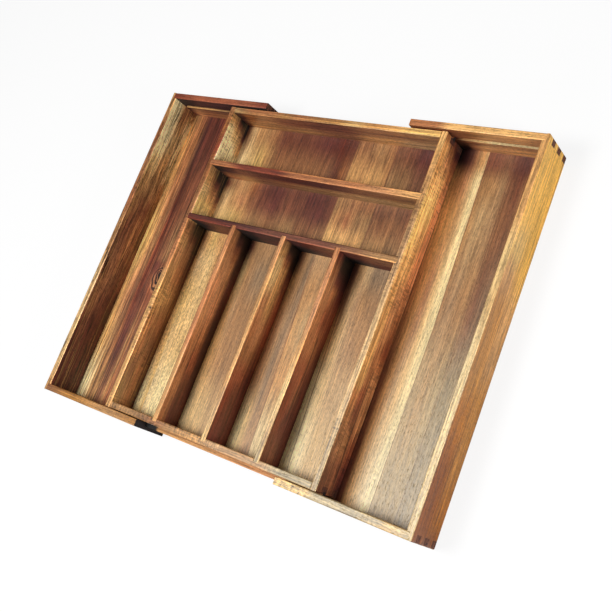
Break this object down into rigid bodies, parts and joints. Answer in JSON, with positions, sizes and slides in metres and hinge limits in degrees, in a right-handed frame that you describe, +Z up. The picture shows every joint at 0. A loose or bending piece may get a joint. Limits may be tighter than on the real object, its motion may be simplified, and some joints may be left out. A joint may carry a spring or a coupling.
{
  "type": "expandable cutlery tray",
  "caption": "Expandable wooden cutlery tray: a centre tray with cross and long pockets, and at each side a wing that slides out on runners like a drawer.",
  "frame": {"origin": "middle of the footprint, on the surface that the tray stands on, with the wings as in the picture", "axes": "+X to the right wing, +Y to the pocket that lies across the back, +Z up"},
  "size_m": [0.557, 0.44, 0.056],
  "materials": {
    "acacia_wall": "satin oil, grain along each wall",
    "acacia_floor": "satin oil, glued staves that run front to back",
    "acacia_divider": "satin oil, grain along each divider",
    "acacia_wing": "satin oil, grain along each board"
  },
  "bodies": {
    "centre_tray": {"centre_left_wall": "acacia_wall", "centre_right_wall": "acacia_wall", "centre_front_wall": "acacia_wall", "centre_back_wall": "acacia_wall", "centre_floor": "acacia_floor", "rear_cross_divider": "acacia_divider", "front_cross_divider": "acacia_divider", "long_divider_1": "acacia_divider", "long_divider_2": "acacia_divider", "long_divider_3": "acacia_divider", "front_runner": "acacia_wall", "back_runner": "acacia_wall"},
    "left_wing": {"left_wing_side": "acacia_wing", "left_wing_front_rail": "acacia_wing", "left_wing_back_rail": "acacia_wing", "left_wing_floor": "acacia_floor"},
    "right_wing": {"right_wing_side": "acacia_wing", "right_wing_front_rail": "acacia_wing", "right_wing_back_rail": "acacia_wing", "right_wing_floor": "acacia_floor"}
  },
  "joints": [
    {"name": "left_wing_slide", "type": "slide", "parent": "centre_tray", "child": "left_wing", "axis": [-1, 0, 0], "range_m": [-0.1005, 0.0145]},
    {"name": "right_wing_slide", "type": "slide", "parent": "centre_tray", "child": "right_wing", "axis": [1, 0, 0], "range_m": [-0.1115, 0.0035]}
  ]
}
